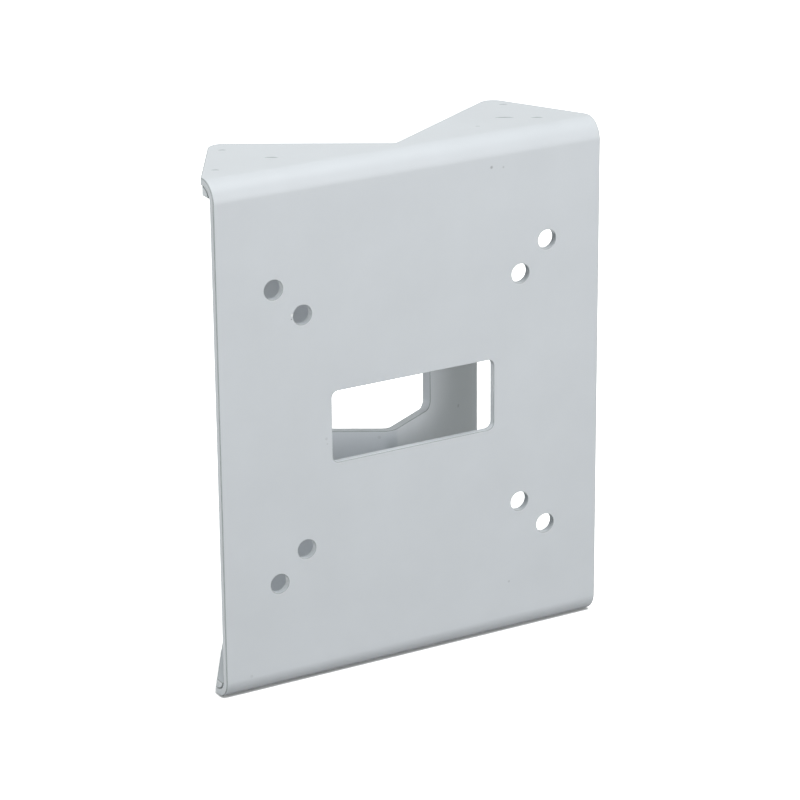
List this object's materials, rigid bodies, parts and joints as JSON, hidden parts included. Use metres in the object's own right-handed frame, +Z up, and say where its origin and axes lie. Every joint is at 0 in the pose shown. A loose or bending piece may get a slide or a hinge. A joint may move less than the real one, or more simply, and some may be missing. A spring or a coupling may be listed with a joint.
{
  "type": "camera pole mount bracket",
  "caption": "Folded steel plate with camera fixing holes and a cable window, welded to a V-shaped rear seat that straps against a pole.",
  "frame": {"origin": "centre of the camera plate's outer face, which is also the centre of both hole patterns", "axes": "+X to the right of someone who faces the camera plate, +Y rearwards to the pole, +Z up along the pole"},
  "size_m": [0.14, 0.0454, 0.175],
  "materials": {
    "powder_coated_steel": "satin powder coat, pale grey-white"
  },
  "bodies": {
    "root": {"front_sheet": "powder_coated_steel", "rear_sheet": "powder_coated_steel"}
  },
  "joints": []
}
